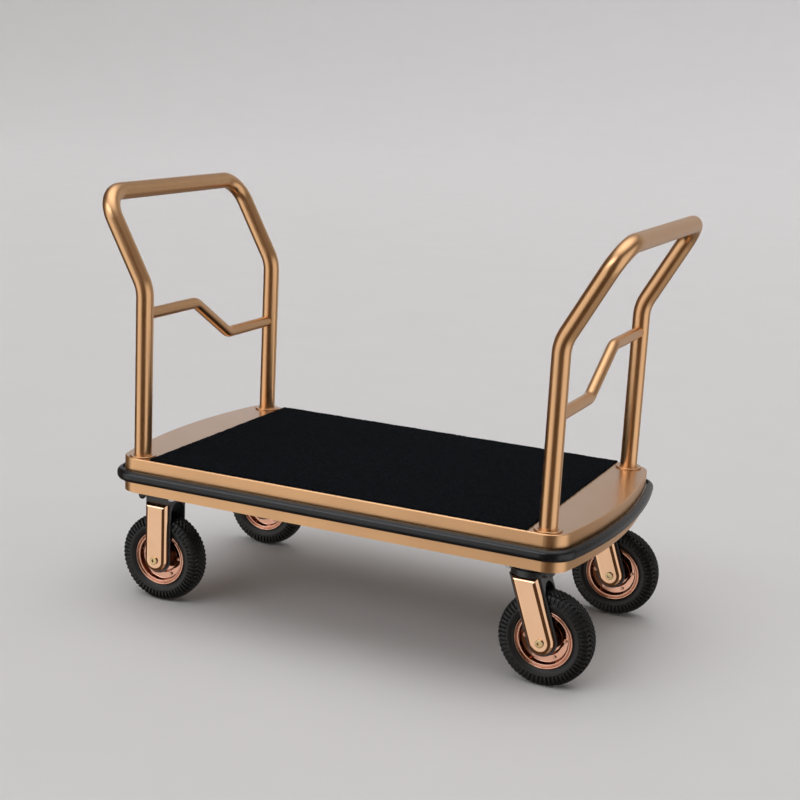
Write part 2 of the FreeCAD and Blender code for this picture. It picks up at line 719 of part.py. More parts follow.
def tyre(x, y):
    """Tyre carcass: a thick shell open at the beads."""
    half, shell, top = TYRE_HALF_WIDTH, TYRE_SHELL, WHEEL_RADIUS
    side = [(BEAD_RADIUS, BEAD_OUT), (60.0, BEAD_OUT + 0.2), (64.5, 20.5), (73.0, half), (88.0, half),
            (top - 2.0, 19.0), (top, 12.0)]
    side_radii = [1.0, 4.0, 8.0, 14.0, 12.0, 6.0, 10.0]
    lining = [(BEAD_RADIUS, BEAD_OUT - shell), (61.0, BEAD_OUT - shell + 0.5), (66.0, 16.5),
              (73.5, half - shell), (86.0, half - shell), (top - 7.0, 12.0)]
    lining_radii = [0, 4.0, 6.0, 6.0, 6.0, 6.0]
    points = mirrored(side, -1) + list(reversed(side)) + lining + mirrored(reversed(lining), -1)
    radii = side_radii + list(reversed(side_radii)) + lining_radii + list(reversed(lining_radii))
    return turned(points, radii, x, y)


def valve_stem(x, y, side, radius):
    """Stem that leaves the tube towards the hub and turns out through the bolt annulus."""
    inward = V(math.cos(math.radians(VALVE_ANGLE)), 0, math.sin(math.radians(VALVE_ANGLE)))
    centre = V(x, y, WHEEL_RADIUS)
    out = V(0, side, 0)
    points = [centre + inward * VALVE_ROOT + out * VALVE_BEND,
              centre + inward * VALVE_CIRCLE + out * VALVE_BEND,
              centre + inward * VALVE_CIRCLE + out * VALVE_END]
    return pipe(points, [0, VALVE_BEND, 0], radius)


def inner_tube(x, y, side):
    """Inner tube: a hollow ring with its valve stem on the outer side of the wheel."""
    half_section = [(54.5, 9.2), (61.5, 9.8), (67.0, 15.3), (74.0, 18.8), (85.0, 18.6), (91.8, 10.5)]
    half_radii = [3.0, 3.0, 5.0, 6.0, 6.0, 6.0]
    points = mirrored(half_section, -1) + list(reversed(half_section))
    skin = turned(points, half_radii + list(reversed(half_radii)), x, y)
    half_cavity = [(54.5 + TUBE_SKIN, 9.2 - TUBE_SKIN), (61.0, 9.8 - TUBE_SKIN), (67.5, 15.3 - TUBE_SKIN),
                   (74.0, 18.8 - TUBE_SKIN), (85.0, 18.6 - TUBE_SKIN), (91.8 - TUBE_SKIN, 9.5)]
    half_radii = [2.0, 2.0, 4.0, 4.0, 4.0, 4.0]
    cavity = mirrored(half_cavity, -1) + list(reversed(half_cavity))
    hollow = turned(cavity, half_radii + list(reversed(half_radii)), x, y)
    return skin.fuse(valve_stem(x, y, side, VALVE_RADIUS)).cut(hollow)


def rim_half(x, y, side):
    """Pressed half rim: rolled lip, groove, ridge, bead seat, bolt annulus and inner disc."""
    face = [(LIP_RADIUS, LIP_OUT - 1.6), (LIP_RADIUS - 1.2, LIP_OUT), (LIP_RADIUS - 3.8, LIP_OUT - 0.6),
            (57.4, 18.2), (55.6, 19.9), (52.6, 19.9), (WALL_INNER, ANNULUS_OUT + ANNULUS_DISH),
            (36.5, ANNULUS_OUT - ANNULUS_DISH), (34.0, DISC_OUT), (HUB_RADIUS + FIT_GAP, DISC_OUT)]
    face_radii = [0.8, 1.0, 1.4, 0.9, 0.9, 1.6, 3.0, 2.0, 1.2, 0]
    back = [(HUB_RADIUS + FIT_GAP, DISC_BACK), (35.6, DISC_BACK), (38.0, ANNULUS_OUT - RIM_SHEET),
            (WALL_INNER, ANNULUS_OUT - RIM_SHEET), (WALL_INNER, DISC_BACK), (WALL_OUTER, DISC_BACK),
            (WALL_OUTER, BEAD_OUT + 0.3), (58.6, BEAD_OUT + 0.3), (60.6, 19.6)]
    back_radii = [0, 1.2, 1.0, 0.5, 0, 0, 0.4, 1.6, 0.5]
    return turned(face + back, face_radii + back_radii, x, y, side)


def hub(x, y):
    """Turned hub barrel, bored for a bearing at each end."""
    low = (x, y - HUB_HALF_LENGTH, WHEEL_RADIUS)
    high = (x, y + HUB_HALF_LENGTH, WHEEL_RADIUS)
    barrel = tube(HUB_RADIUS, SLEEVE_RADIUS + HUB_BORE_GAP, low, high)
    for side in (-1, 1):
        seat = HUB_HALF_LENGTH - BEARING_WIDTH
        barrel = barrel.cut(cylinder(BEARING_RADIUS + BEARING_SEAT_GAP, (x, y + side * seat, WHEEL_RADIUS),
                                     (x, y + side * HUB_HALF_LENGTH, WHEEL_RADIUS)))
    return barrel


def hub_bearings(x, y):
    """Two sealed bearings: each ring has a shallow recess where its shield sits."""
    rings = []
    for side in (-1, 1):
        mouth = (x, y + side * HUB_HALF_LENGTH, WHEEL_RADIUS)
        seat = (x, y + side * (HUB_HALF_LENGTH - BEARING_WIDTH), WHEEL_RADIUS)
        shield = (x, y + side * (HUB_HALF_LENGTH - SHIELD_DEPTH), WHEEL_RADIUS)
        ring = tube(BEARING_RADIUS, SLEEVE_RADIUS + RUNNING_GAP, seat, mouth)
        recess = tube(BEARING_RADIUS - SHIELD_INSET, SLEEVE_RADIUS + SHIELD_INSET, shield, mouth)
        rings.append(ring.cut(recess))
    return group(rings)


def rim_bolt_places(x):
    """Positions of the rim bolts round the axle, as (x, z)."""
    places = []
    for step in range(RIM_BOLT_COUNT):
        angle = math.radians(RIM_BOLT_PHASE + 360.0 * step / RIM_BOLT_COUNT)
        places.append((x + RIM_BOLT_CIRCLE * math.cos(angle),
                       WHEEL_RADIUS + RIM_BOLT_CIRCLE * math.sin(angle)))
    return places


def rim_bolts(x, y):
    """Bolts through both half rims, each with a spacer between them and a nut."""
    inner = ANNULUS_OUT - RIM_SHEET
    nut_end = RIM_SEAT_OUT + RIM_NUT_HEIGHT
    pieces = []
    for bolt_x, bolt_z in rim_bolt_places(x):

        def at(out):
            return (bolt_x, y + out, bolt_z)

        bolt = hexagon(RIM_BOLT_FLATS, at(-RIM_SEAT_OUT - RIM_BOLT_HEAD), at(-RIM_SEAT_OUT))
        bolt = bolt.fuse(cylinder(RIM_BOLT_RADIUS, at(-RIM_SEAT_OUT), at(RIM_SEAT_OUT + RIM_BOLT_OVERRUN)))
        nut = hexagon(RIM_BOLT_FLATS, at(RIM_SEAT_OUT), at(nut_end))
        nut = nut.cut(cylinder(RIM_BOLT_RADIUS + FIT_GAP, at(RIM_SEAT_OUT), at(nut_end)))
        spacer = tube(RIM_SPACER_RADIUS, RIM_BOLT_RADIUS + FIT_GAP, at(-inner), at(inner))
        pieces += [bolt, nut, spacer]
    return group(pieces)


def drilled_rim(x, y, side, valve_side):
    """Half rim with flat seats and holes for its bolts, and the way for the valve stem."""
    half = rim_half(x, y, side)
    half = half.cut(valve_stem(x, y, valve_side, VALVE_RADIUS + VALVE_SPACE))
    for bolt_x, bolt_z in rim_bolt_places(x):
        end = (bolt_x, y + side * RIM_HOLE_REACH, bolt_z)
        hole = cylinder(RIM_BOLT_RADIUS + FIT_GAP, (bolt_x, y, bolt_z), end)
        seat = cylinder(RIM_SEAT_RADIUS, (bolt_x, y + side * RIM_SEAT_OUT, bolt_z), end)
        half = half.cut(hole.fuse(seat))
    return half


# ---------------------------------------------------------------- the assembly
def main():
    os.makedirs("parts", exist_ok=True)

    export("deck_pan", deck_pan())
    export("deck_board", deck_board())
    export("carpet", carpet())
    export("underframe", underframe())
    export("bumper", bumper())
    export("bumper_track", bumper_track())
    for side, name in ((-1, "left"), (1, "right")):
        export("hoop_" + name, hoop(side))
        export("midbar_" + name, midbar(side))
    export("post_collars", group(at_posts(post_collar)))
    export("post_plugs", group(at_posts(post_plug)))
    export("post_studs", group(at_posts(post_stud) + at_posts(cap_nut)))
    bolts = [caster_bolt(x, y) for x, y in caster_bolt_places()]
    nuts = [caster_nut(x, y) for x, y in caster_bolt_places()]
    export("caster_bolts", group(bolts + nuts))

    for side_y, end in ((-1, "front"), (1, "rear")):
        wheel_y = side_y * CASTER_Y
        export("rigid_fork_" + end, rigid_fork(side_y))
        export("swivel_plate_" + end, swivel_plate(side_y))
        export("swivel_kingpin_" + end, kingpin(side_y))
        export("swivel_balls_" + end, head_balls(side_y))
        export("swivel_fork_" + end, swivel_fork(side_y))
        casters = (("rigid", RIGID_AXLE_X, 0.0), ("swivel", CASTER_X + SWIVEL_TRAIL, FORK_RAKE))
        for kind, axle_x, rake in casters:
            tag = kind + "_" + end
            export("fork_covers_" + tag, fork_covers(axle_x, wheel_y, rake))
            export("axle_" + tag, axle_set(axle_x, wheel_y))
            export("tyre_" + tag, tyre(axle_x, wheel_y))
            export("inner_tube_" + tag, inner_tube(axle_x, wheel_y, side_y))
            export("rim_outer_" + tag, drilled_rim(axle_x, wheel_y, side_y, side_y))
            export("rim_inner_" + tag, drilled_rim(axle_x, wheel_y, -side_y, side_y))
            export("hub_" + tag, hub(axle_x, wheel_y))
            export("hub_bearings_" + tag, hub_bearings(axle_x, wheel_y))
            export("rim_bolts_" + tag, rim_bolts(axle_x, wheel_y))


main()
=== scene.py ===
import json
import math

import bpy
import numpy as np
from mathutils import Matrix, Vector


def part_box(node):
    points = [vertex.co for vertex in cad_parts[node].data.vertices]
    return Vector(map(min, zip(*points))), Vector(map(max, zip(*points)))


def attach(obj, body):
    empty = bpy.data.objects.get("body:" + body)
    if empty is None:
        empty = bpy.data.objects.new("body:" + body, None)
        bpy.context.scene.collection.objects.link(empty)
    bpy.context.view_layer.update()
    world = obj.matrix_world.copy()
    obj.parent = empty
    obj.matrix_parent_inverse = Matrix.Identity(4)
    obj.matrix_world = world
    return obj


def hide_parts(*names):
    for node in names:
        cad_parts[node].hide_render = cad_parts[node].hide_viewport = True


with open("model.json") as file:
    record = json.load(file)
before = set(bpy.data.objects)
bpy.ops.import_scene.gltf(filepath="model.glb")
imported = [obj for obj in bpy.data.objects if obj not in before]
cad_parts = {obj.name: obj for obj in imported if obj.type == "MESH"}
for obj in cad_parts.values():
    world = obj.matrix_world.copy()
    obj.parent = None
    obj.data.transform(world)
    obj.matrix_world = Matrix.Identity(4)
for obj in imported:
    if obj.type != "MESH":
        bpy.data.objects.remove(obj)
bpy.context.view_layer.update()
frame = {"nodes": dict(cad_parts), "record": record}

# Hotel luggage cart. The CAD frame gives every piece its place; this script gives the
# metal, paint, rubber and wood their materials, and makes the carpet and the tyres anew.
# Metres, +X along the deck, +Y across it, +Z up. The front long side faces -Y.

MM = 0.001
NODES = frame["nodes"]
CASTERS = ("rigid_front", "rigid_rear", "swivel_front", "swivel_rear")


# ------------------------------------------------------------ material helpers

class Painter:
    """One node material under construction."""

    def __init__(self, name):
        self.material = bpy.data.materials.new(name)
        self.material.use_nodes = True
        self.tree = self.material.node_tree
        self.shader = self.tree.nodes["Principled BSDF"]
        coordinates = self.tree.nodes.new("ShaderNodeTexCoord")
        self.place = coordinates.outputs["Object"]
        self.facing = coordinates.outputs["Normal"]

    def node(self, kind, **inputs):
        made = self.tree.nodes.new(kind)
        for name, value in inputs.items():
            self.feed(made.inputs[name.replace("_", " ")], value)
        return made

    def feed(self, socket, value):
        if isinstance(value, bpy.types.NodeSocket):
            self.tree.links.new(value, socket)
        else:
            socket.default_value = value

    def set(self, **inputs):
        for name, value in inputs.items():
            self.feed(self.shader.inputs[name.replace("_", " ")], value)
        return self

    def stretched(self, scale):
        """Object coordinates, scaled apart in x, y and z."""
        return self.node("ShaderNodeMapping", Vector=self.place, Scale=scale).outputs["Vector"]

    def noise(self, scale, detail=3.0, rough=0.55, stretch=None):
        place = self.stretched(stretch) if stretch else self.place
        made = self.node("ShaderNodeTexNoise", Vector=place, Scale=scale, Detail=detail, Roughness=rough)
        return made.outputs["Fac"]

    def cells(self, scale):
        return self.node("ShaderNodeTexVoronoi", Vector=self.place, Scale=scale).outputs["Distance"]

    def remap(self, value, low, high, to_low, to_high):
        made = self.node("ShaderNodeMapRange", Value=value, From_Min=low, From_Max=high,
                         To_Min=to_low, To_Max=to_high)
        made.clamp = True
        return made.outputs["Result"]

    def mix(self, factor, first, second):
        made = self.tree.nodes.new("ShaderNodeMix")
        made.data_type = "RGBA"
        sockets = [s for s in made.inputs if s.type == "RGBA"]
        self.feed(made.inputs[0], factor)
        self.feed(sockets[0], first)
        self.feed(sockets[1], second)
        return [s for s in made.outputs if s.type == "RGBA"][0]

    def math(self, operation, first, second):
        made = self.tree.nodes.new("ShaderNodeMath")
        made.operation = operation
        self.feed(made.inputs[0], first)
        self.feed(made.inputs[1], second)
        return made.outputs["Value"]

    def bump(self, height, depth, strength, under=None):
        """Bump of a given depth in metres, on top of another bump if there is one."""
        made = self.node("ShaderNodeBump", Height=height, Distance=depth, Strength=strength)
        if under is not None:
            self.feed(made.inputs["Normal"], under)
        return made.outputs["Normal"]


def rgb(red, green, blue):
    return (red, green, blue, 1.0)


# ------------------------------------------------------------ materials

# Brush marks per metre along and across the grain, the height at which the upright tubes
# turn into their top bars, and half the height over which the grain changes there.
GRAIN_ALONG = 30.0
GRAIN_ACROSS = 2400.0
TOP_BAR_FROM = 0.886
GRAIN_BLEND = 0.01


def bronze(name, along, rough, coat, cross_above=None):
    """Satin bronze-coloured metal, brushed along one axis, under clear lacquer.

    Above a height of cross_above, where there is one, the brushing runs along Y. The
    lacquer's weight goes from the first value of coat to the second on faces that look up.
    """
    p = Painter(name)

    def brushed(axis):
        stretch = [GRAIN_ALONG if k == axis else GRAIN_ACROSS for k in range(3)]
        return p.noise(1.0, detail=4.0, rough=0.6, stretch=stretch)

    streaks = brushed(along)
    if cross_above is not None:
        above = p.remap(p.node("ShaderNodeSeparateXYZ", Vector=p.place).outputs["Z"],
                        cross_above - GRAIN_BLEND, cross_above + GRAIN_BLEND, 0.0, 1.0)
        below = p.math("MULTIPLY", streaks, p.math("SUBTRACT", 1.0, above))
        streaks = p.math("ADD", below, p.math("MULTIPLY", brushed(1), above))
    clouds = p.noise(9.0, detail=2.0)
    colour = p.mix(p.remap(streaks, 0.35, 0.65, 0.0, 1.0),
                   rgb(0.755, 0.445, 0.222), rgb(0.785, 0.466, 0.236))
    colour = p.mix(p.remap(clouds, 0.35, 0.7, 0.0, 0.5), colour, rgb(0.76, 0.452, 0.232))
    sand = p.noise(2600.0, detail=2.0)
    upward = p.node("ShaderNodeSeparateXYZ", Vector=p.facing).outputs["Z"]
    p.set(Base_Color=colour, Metallic=1.0,
          Roughness=p.remap(p.math("ADD", streaks, clouds), 0.7, 1.3, *rough),
          Normal=p.bump(streaks, 0.00001, 0.35, p.bump(sand, 0.00002, 0.3)),
          Coat_Weight=p.remap(upward, 0.6, 0.95, *coat), Coat_Roughness=0.22, Coat_IOR=1.7)
    return p.material


def plated(name, pale, deep, gloss):
    """Polished plating with faint wipe marks, pits and uneven depth of colour."""
    p = Painter(name)
    clouds = p.noise(30.0, detail=3.0)
    wipes = p.noise(1.0, detail=3.0, stretch=(60.0, 60.0, 14.0))
    colour = p.mix(p.remap(clouds, 0.3, 0.7, 0.0, 1.0), deep, pale)
    rough = p.remap(p.math("ADD", clouds, wipes), 0.75, 1.25, gloss, gloss + 0.07)
    p.set(Base_Color=colour, Metallic=1.0, Roughness=rough,
          Normal=p.bump(p.noise(140.0, detail=2.0), 0.00005, 0.22))
    return p.material


def painted(name, colour, worn, rough, peel_scale, peel_depth):
    """Paint or powder coat: orange peel, faint dust and slightly rubbed patches."""
    p = Painter(name)
    dust = p.noise(22.0, detail=5.0, rough=0.65)
    tint = p.mix(p.remap(dust, 0.45, 0.75, 0.0, 1.0), colour, worn)
    p.set(Base_Color=tint, Roughness=p.remap(dust, 0.3, 0.7, rough, rough + 0.12),
          Normal=p.bump(p.noise(peel_scale, detail=2.0), peel_depth, 0.6),
          Specular_IOR_Level=0.5, Coat_Weight=0.25, Coat_Roughness=0.3)
    return p.material


def turned_metal(name, pale, deep, rough):
    """Machined or plated steel with fine uneven grain."""
    p = Painter(name)
    grain = p.noise(700.0, detail=3.0, rough=0.6)
    stain = p.noise(45.0, detail=3.0)
    colour = p.mix(p.remap(stain, 0.35, 0.7, 0.0, 1.0), pale, deep)
    p.set(Base_Color=colour, Metallic=1.0,
          Roughness=p.remap(p.math("ADD", grain, stain), 0.7, 1.3, rough, rough + 0.15),
          Normal=p.bump(grain, 0.00003, 0.4))
    return p.material


def rubber(name, colour, dusty, rough, grain_scale, grain_depth):
    """Moulded rubber: fine skin texture with a little grey bloom."""
    p = Painter(name)
    bloom = p.noise(14.0, detail=4.0, rough=0.6)
    skin = p.noise(grain_scale, detail=3.0, rough=0.6)
    tint = p.mix(p.remap(bloom, 0.4, 0.75, 0.0, 1.0), colour, dusty)
    p.set(Base_Color=tint, Roughness=p.remap(p.math("ADD", bloom, skin), 0.7, 1.3, rough, rough + 0.14),
          Normal=p.bump(skin, grain_depth, 0.6), Specular_IOR_Level=0.5)
    return p.material


def plywood():
    """Birch face with darker veins along X."""
    p = Painter("plywood")
    veins = p.noise(1.0, detail=5.0, rough=0.65, stretch=(5.0, 90.0, 90.0))
    pores = p.noise(1.0, detail=3.0, stretch=(60.0, 900.0, 900.0))
    colour = p.mix(p.remap(veins, 0.35, 0.65, 0.0, 1.0), rgb(0.40, 0.27, 0.15), rgb(0.58, 0.43, 0.27))
    colour = p.mix(p.remap(pores, 0.6, 0.75, 0.0, 0.6), colour, rgb(0.25, 0.16, 0.09))
    p.set(Base_Color=colour, Roughness=p.remap(veins, 0.3, 0.7, 0.55, 0.7),
          Normal=p.bump(veins, 0.0002, 0.4))
    return p.material


def pile():
    """Short black pile: near-black tufts with a cool cast, painted shade between the tufts and scattered
    lighter flecks.
    """
    p = Painter("carpet_pile")
    tufts = p.cells(300.0)
    patches = p.noise(7.0, detail=4.0, rough=0.6)
    flecks = p.noise(620.0, detail=2.0, rough=0.7)
    # Each tuft cell is painted lighter in its middle and darker towards its border: painted shade in the
    # gaps between tufts.
    colour = p.mix(p.remap(tufts, 0.15, 0.75, 0.0, 1.0),
                   rgb(0.0078, 0.0098, 0.0126), rgb(0.0011, 0.0014, 0.0019))
    colour = p.mix(p.remap(patches, 0.35, 0.7, 0.0, 0.45), colour, rgb(0.0036, 0.0045, 0.006))
    colour = p.mix(p.remap(flecks, 0.62, 0.70, 0.0, 1.0), colour, rgb(0.040, 0.046, 0.056))
    fibres = p.bump(tufts, 0.0012, 0.9, p.bump(p.noise(1500.0, detail=3.0), 0.0004, 0.6))
    p.set(Base_Color=colour, Roughness=0.95, Normal=fibres, Specular_IOR_Level=0.03,
          Sheen_Weight=0.01, Sheen_Roughness=0.6, Sheen_Tint=rgb(0.55, 0.62, 0.75))
    return p.material


def slot_materials():
    """One material for each material slot of the record."""
    return {
        "brushed_bronze": bronze("bronze_deck", 0, (0.33, 0.42), (0.2, 1.0)),
        "polished_rose": plated("polished_rose", rgb(0.84, 0.54, 0.345), rgb(0.80, 0.50, 0.31), 0.08),
        "copper_rim": plated("copper_rim", rgb(0.74, 0.43, 0.315), rgb(0.62, 0.33, 0.23), 0.05),
        "black_steel": painted("black_steel", rgb(0.019, 0.022, 0.025), rgb(0.034, 0.037, 0.042),
                               0.30, 420.0, 0.00008),
        "frame_steel": painted("frame_steel", rgb(0.02, 0.02, 0.021), rgb(0.045, 0.044, 0.043),
                               0.5, 900.0, 0.0001),
        "black_fastener": painted("black_fastener", rgb(0.012, 0.012, 0.013), rgb(0.03, 0.03, 0.03),
                                  0.38, 1200.0, 0.00004),
        "copper_fastener": turned_metal("copper_fastener", rgb(0.66, 0.38, 0.28), rgb(0.4, 0.2, 0.14), 0.2),
        "brass_fastener": turned_metal("brass_fastener", rgb(0.74, 0.58, 0.33), rgb(0.6, 0.44, 0.22), 0.16),
        "zinc_steel": turned_metal("zinc_steel", rgb(0.6, 0.61, 0.63), rgb(0.42, 0.43, 0.45), 0.28),
        "bearing_steel": turned_metal("bearing_steel", rgb(0.66, 0.66, 0.67), rgb(0.5, 0.5, 0.52), 0.14),
        "hub_steel": turned_metal("hub_steel", rgb(0.5, 0.29, 0.2), rgb(0.34, 0.17, 0.11), 0.25),
        "plywood": plywood(),
        "carpet": pile(),
        "bumper_rubber": rubber("bumper_rubber", rgb(0.0045, 0.0062, 0.0085), rgb(0.009, 0.0115, 0.015),
                                0.22, 1400.0, 0.00002),
        "track_aluminium": turned_metal("track_aluminium", rgb(0.62, 0.62, 0.63), rgb(0.5, 0.5, 0.5), 0.3),
        "tyre_rubber": rubber("tyre_rubber", rgb(0.005, 0.0058, 0.0064), rgb(0.0095, 0.0108, 0.012),
                              0.36, 1800.0, 0.00006),
        "tube_rubber": rubber("tube_rubber", rgb(0.02, 0.02, 0.02), rgb(0.035, 0.035, 0.035),
                              0.5, 1500.0, 0.00004),
    }


def dress_nodes(materials):
    """Every CAD node takes the material of its slot; the tubes have their grain upright."""
    tube_bronze = bronze("bronze_tube", 2, (0.27, 0.34), (0.15, 0.15), cross_above=TOP_BAR_FROM)
    bar_bronze = bronze("bronze_bar", 1, (0.27, 0.34), (0.15, 0.15))
    slots = {s["node"]: s["material_slot"] for s in frame["record"]["subparts"]}
    for name, node in NODES.items():
        material = materials[slots[name]]
        if name.startswith("hoop"):
            material = tube_bronze
        if name.startswith("midbar"):
            material = bar_bronze
        if name == "post_collars":
            material = materials["brushed_bronze"]
        node.data.materials.clear()
        node.data.materials.append(material)


# ------------------------------------------------------------ mesh helpers

def piece(name, points, faces, material, sharp_deg=35.0):
    """A new mesh object, smooth but for its sharp edges."""
    mesh = bpy.data.meshes.new(name)
    mesh.from_pydata([tuple(p) for p in points], [], faces)
    mesh.validate()
    mesh.update()
    mesh.polygons.foreach_set("use_smooth", [True] * len(mesh.polygons))
    mesh.set_sharp_from_angle(angle=math.radians(sharp_deg))
    mesh.materials.append(material)
    made = bpy.data.objects.new(name, mesh)
    bpy.context.scene.collection.objects.link(made)
    return made


# ------------------------------------------------------------ carpet

PILE_STEP = 2.2 * MM
PILE_RISE = 1.6 * MM
FRAY = 2.4 * MM
EDGE_DROP = 1.6 * MM
EDGE_STEPS = 2.5
JITTER = 0.32
BACK_GAP = 0.15 * MM


def carpet(material):
    """The carpet as one closed sheet: nubbed pile on top, flat back, frayed at its edges."""
    low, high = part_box("carpet")
    columns = round((high.x - low.x) / PILE_STEP)
    rows = round((high.y - low.y) / PILE_STEP)
    random = np.random.default_rng(7)
    x, y = np.meshgrid(np.linspace(low.x, high.x, columns + 1), np.linspace(low.y, high.y, rows + 1))
    edge = np.minimum(np.minimum(x - low.x, high.x - x), np.minimum(y - low.y, high.y - y))
    jitter = random.uniform(-JITTER, JITTER, (2, *x.shape)) * PILE_STEP
    drop = np.clip(1 - edge / (EDGE_STEPS * PILE_STEP), 0, 1) ** 2
    nub = random.random(x.shape) ** 0.7
    wave = 0.25 * np.sin(x * 61.0 + 3.0 * np.sin(y * 37.0)) * np.sin(y * 53.0 + 1.3)
    z = high.z + PILE_RISE * (nub - 0.75 + wave * 0.6) - drop * EDGE_DROP
    near = 0.1 * PILE_STEP
    border = edge < near
    fray = random.random(x.shape) ** 2 * FRAY
    out_x = np.sign(x) * (np.abs(x) > high.x - near)
    out_y = np.sign(y) * (np.abs(y) > high.y - near)
    x = x + jitter[0] * ~border + out_x * (fray - 0.5 * FRAY)
    y = y + jitter[1] * ~border + out_y * (fray - 0.5 * FRAY)
    top = np.stack([x, y, z], -1).reshape(-1, 3)
    index = np.arange(len(top)).reshape(rows + 1, columns + 1)
    quads = np.stack([index[:-1, :-1], index[:-1, 1:], index[1:, 1:], index[1:, :-1]], -1).reshape(-1, 4)
    rim = np.concatenate([index[0, :-1], index[:-1, -1], index[-1, :0:-1], index[:0:-1, 0]])
    back = low.z + BACK_GAP
    foot = top[rim] * (1, 1, 0) + (0, 0, back)
    start = len(top)
    count = len(rim)
    middle = start + count
    centre = ((low.x + high.x) / 2, (low.y + high.y) / 2, back)
    points = np.concatenate([top, foot, [centre]])
    faces = quads.tolist()
    for i in range(count):
        j = (i + 1) % count
        faces.append((int(rim[j]), int(rim[i]), start + i, start + j))
        faces.append((start + j, start + i, middle))
    made = piece("carpet_sheet", points, faces, material, sharp_deg=180.0)
    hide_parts("carpet")
    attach(made, "cart_frame")


# ------------------------------------------------------------ tyres
# A tyre is a ring of equal pitches. Each pitch has one shoulder lug and one tooth of
# every crown rib. "out" is the distance from the wheel's middle plane.

PITCHES = 60
STEPS = 12
CROWN_RADIUS = 100.0 * MM
CROWN_DROP = 2.4 * MM
CROWN_HALF = 19.0 * MM
GROOVE_OUTS = (-15.2 * MM, -9.3 * MM, -3.1 * MM, 3.1 * MM, 9.3 * MM, 15.2 * MM)
GROOVE_HALF = 1.6 * MM
GROOVE_SLOPE = 0.45 * MM
GROOVE_DEPTH = 4.4 * MM
ZIGZAG = 1.5 * MM
SLIT_DEPTH = 1.3 * MM
LUG_DEPTH = 3.7 * MM
TOOTH_SHARE = 7 / STEPS
LUG_SHARE = 5 / STEPS
FLANK_SHARE = 1 / STEPS
SHORT_LUG = 0.35


def ramp_wave(phase, top_share, slope):
    """1 on a tooth's land and 0 in its gap, with short straight flanks."""
    phase = phase % 1.0
    rise = np.clip(phase / slope, 0, 1)
    fall = np.clip((top_share + slope - phase) / slope, 0, 1)
    return np.minimum(rise, fall)


def crown_radius(out):
    return CROWN_RADIUS - CROWN_DROP * (abs(out) / CROWN_HALF) ** 2.2


def tyre_section():
    """Half of the outer section from the shoulder to the bead, as (out, radius, lug share)."""
    shoulder = [(19.0, 97.3, 1.0), (20.8, 95.8, 1.0), (22.3, 93.6, 1.0), (23.5, 90.6, 1.0),
                (24.4, 86.8, 1.0), (24.8, 83.0, 1.0), (24.8, 79.4, 0.85), (24.6, 77.6, 0.0),
                (24.9, 76.6, 0.0), (24.9, 75.6, 0.0), (24.5, 75.2, 0.0), (24.2, 72.5, 0.0),
                (23.3, 69.2, 0.0), (22.4, 67.0, 0.0), (22.5, 66.3, 0.0), (21.9, 65.6, 0.0),
                (21.2, 64.2, 0.0), (19.6, 62.6, 0.0), (17.4, 61.2, 0.0), (15.8, 59.8, 0.0),
                (15.5, 57.0, 0.0), (15.4, 53.6, 0.0), (14.8, 53.0, 0.0)]
    return [(out * MM, radius * MM, share) for out, radius, share in shoulder]


def tyre_lining():
    """The hidden inside of the tyre, bead to bead."""
    half = [(10.9, 53.0), (10.5, 54.0), (10.6, 60.5), (15.6, 65.6), (19.6, 72.0), (19.8, 84.0),
            (17.6, 89.5), (12.0, 93.0), (0.0, 93.6)]
    return [(out * MM, radius * MM) for out, radius in half]


def tyre_rings():
    """All rings of the section, each with its out and radius at every step of the circle."""
    count = PITCHES * STEPS
    turn = np.arange(count) / STEPS
    zigzag = 2 * np.abs((turn % 1.0) * 2 - 1) - 1
    rings = []

    def crown_ring(base, edge_shift, depth, rib):
        swing = ZIGZAG * zigzag * (1 if rib % 2 else -1) if edge_shift else 0 * turn
        out = base + swing
        slit = 1 - ramp_wave(turn + 0.5 * (rib % 2), TOOTH_SHARE, FLANK_SHARE)
        rings.append((out, crown_radius(base) - depth - (SLIT_DEPTH * slit if depth == 0 else 0)))

    def shoulder_rings(side):
        lug = ramp_wave(turn, LUG_SHARE, FLANK_SHARE)
        short = ramp_wave(turn / 2, 0.5, FLANK_SHARE / 2)
        section = tyre_section()
        made = []
        for k, (out, radius, share) in enumerate(section):
            before = section[max(k - 1, 0)]
            after = section[min(k + 1, len(section) - 1)]
            normal = Vector((before[1] - after[1], after[0] - before[0])).normalized()
            gap = (1 - lug) * share
            if 0 < share < 1:
                gap = gap * (SHORT_LUG + (1 - SHORT_LUG) * short)
            made.append((side * (out - gap * LUG_DEPTH * normal.x), radius - gap * LUG_DEPTH * normal.y))
        return made

    left = shoulder_rings(-1)
    right = shoulder_rings(1)
    for k, groove in enumerate(GROOVE_OUTS):
        crown_ring(groove - GROOVE_HALF, True, 0.0, k)
        crown_ring(groove - GROOVE_HALF + GROOVE_SLOPE, True, GROOVE_DEPTH, k)
        crown_ring(groove + GROOVE_HALF - GROOVE_SLOPE, True, GROOVE_DEPTH, k)
        crown_ring(groove + GROOVE_HALF, True, 0.0, k + 1)
        if k < len(GROOVE_OUTS) - 1:
            crown_ring((groove + GROOVE_OUTS[k + 1]) / 2, False, 0.0, k + 1)
    lining = tyre_lining()
    inside = [(0 * turn + out, 0 * turn + radius) for out, radius in lining]
    inside += [(0 * turn - out, 0 * turn + radius) for out, radius in reversed(lining[:-1])]
    return list(reversed(left)) + rings + right + inside


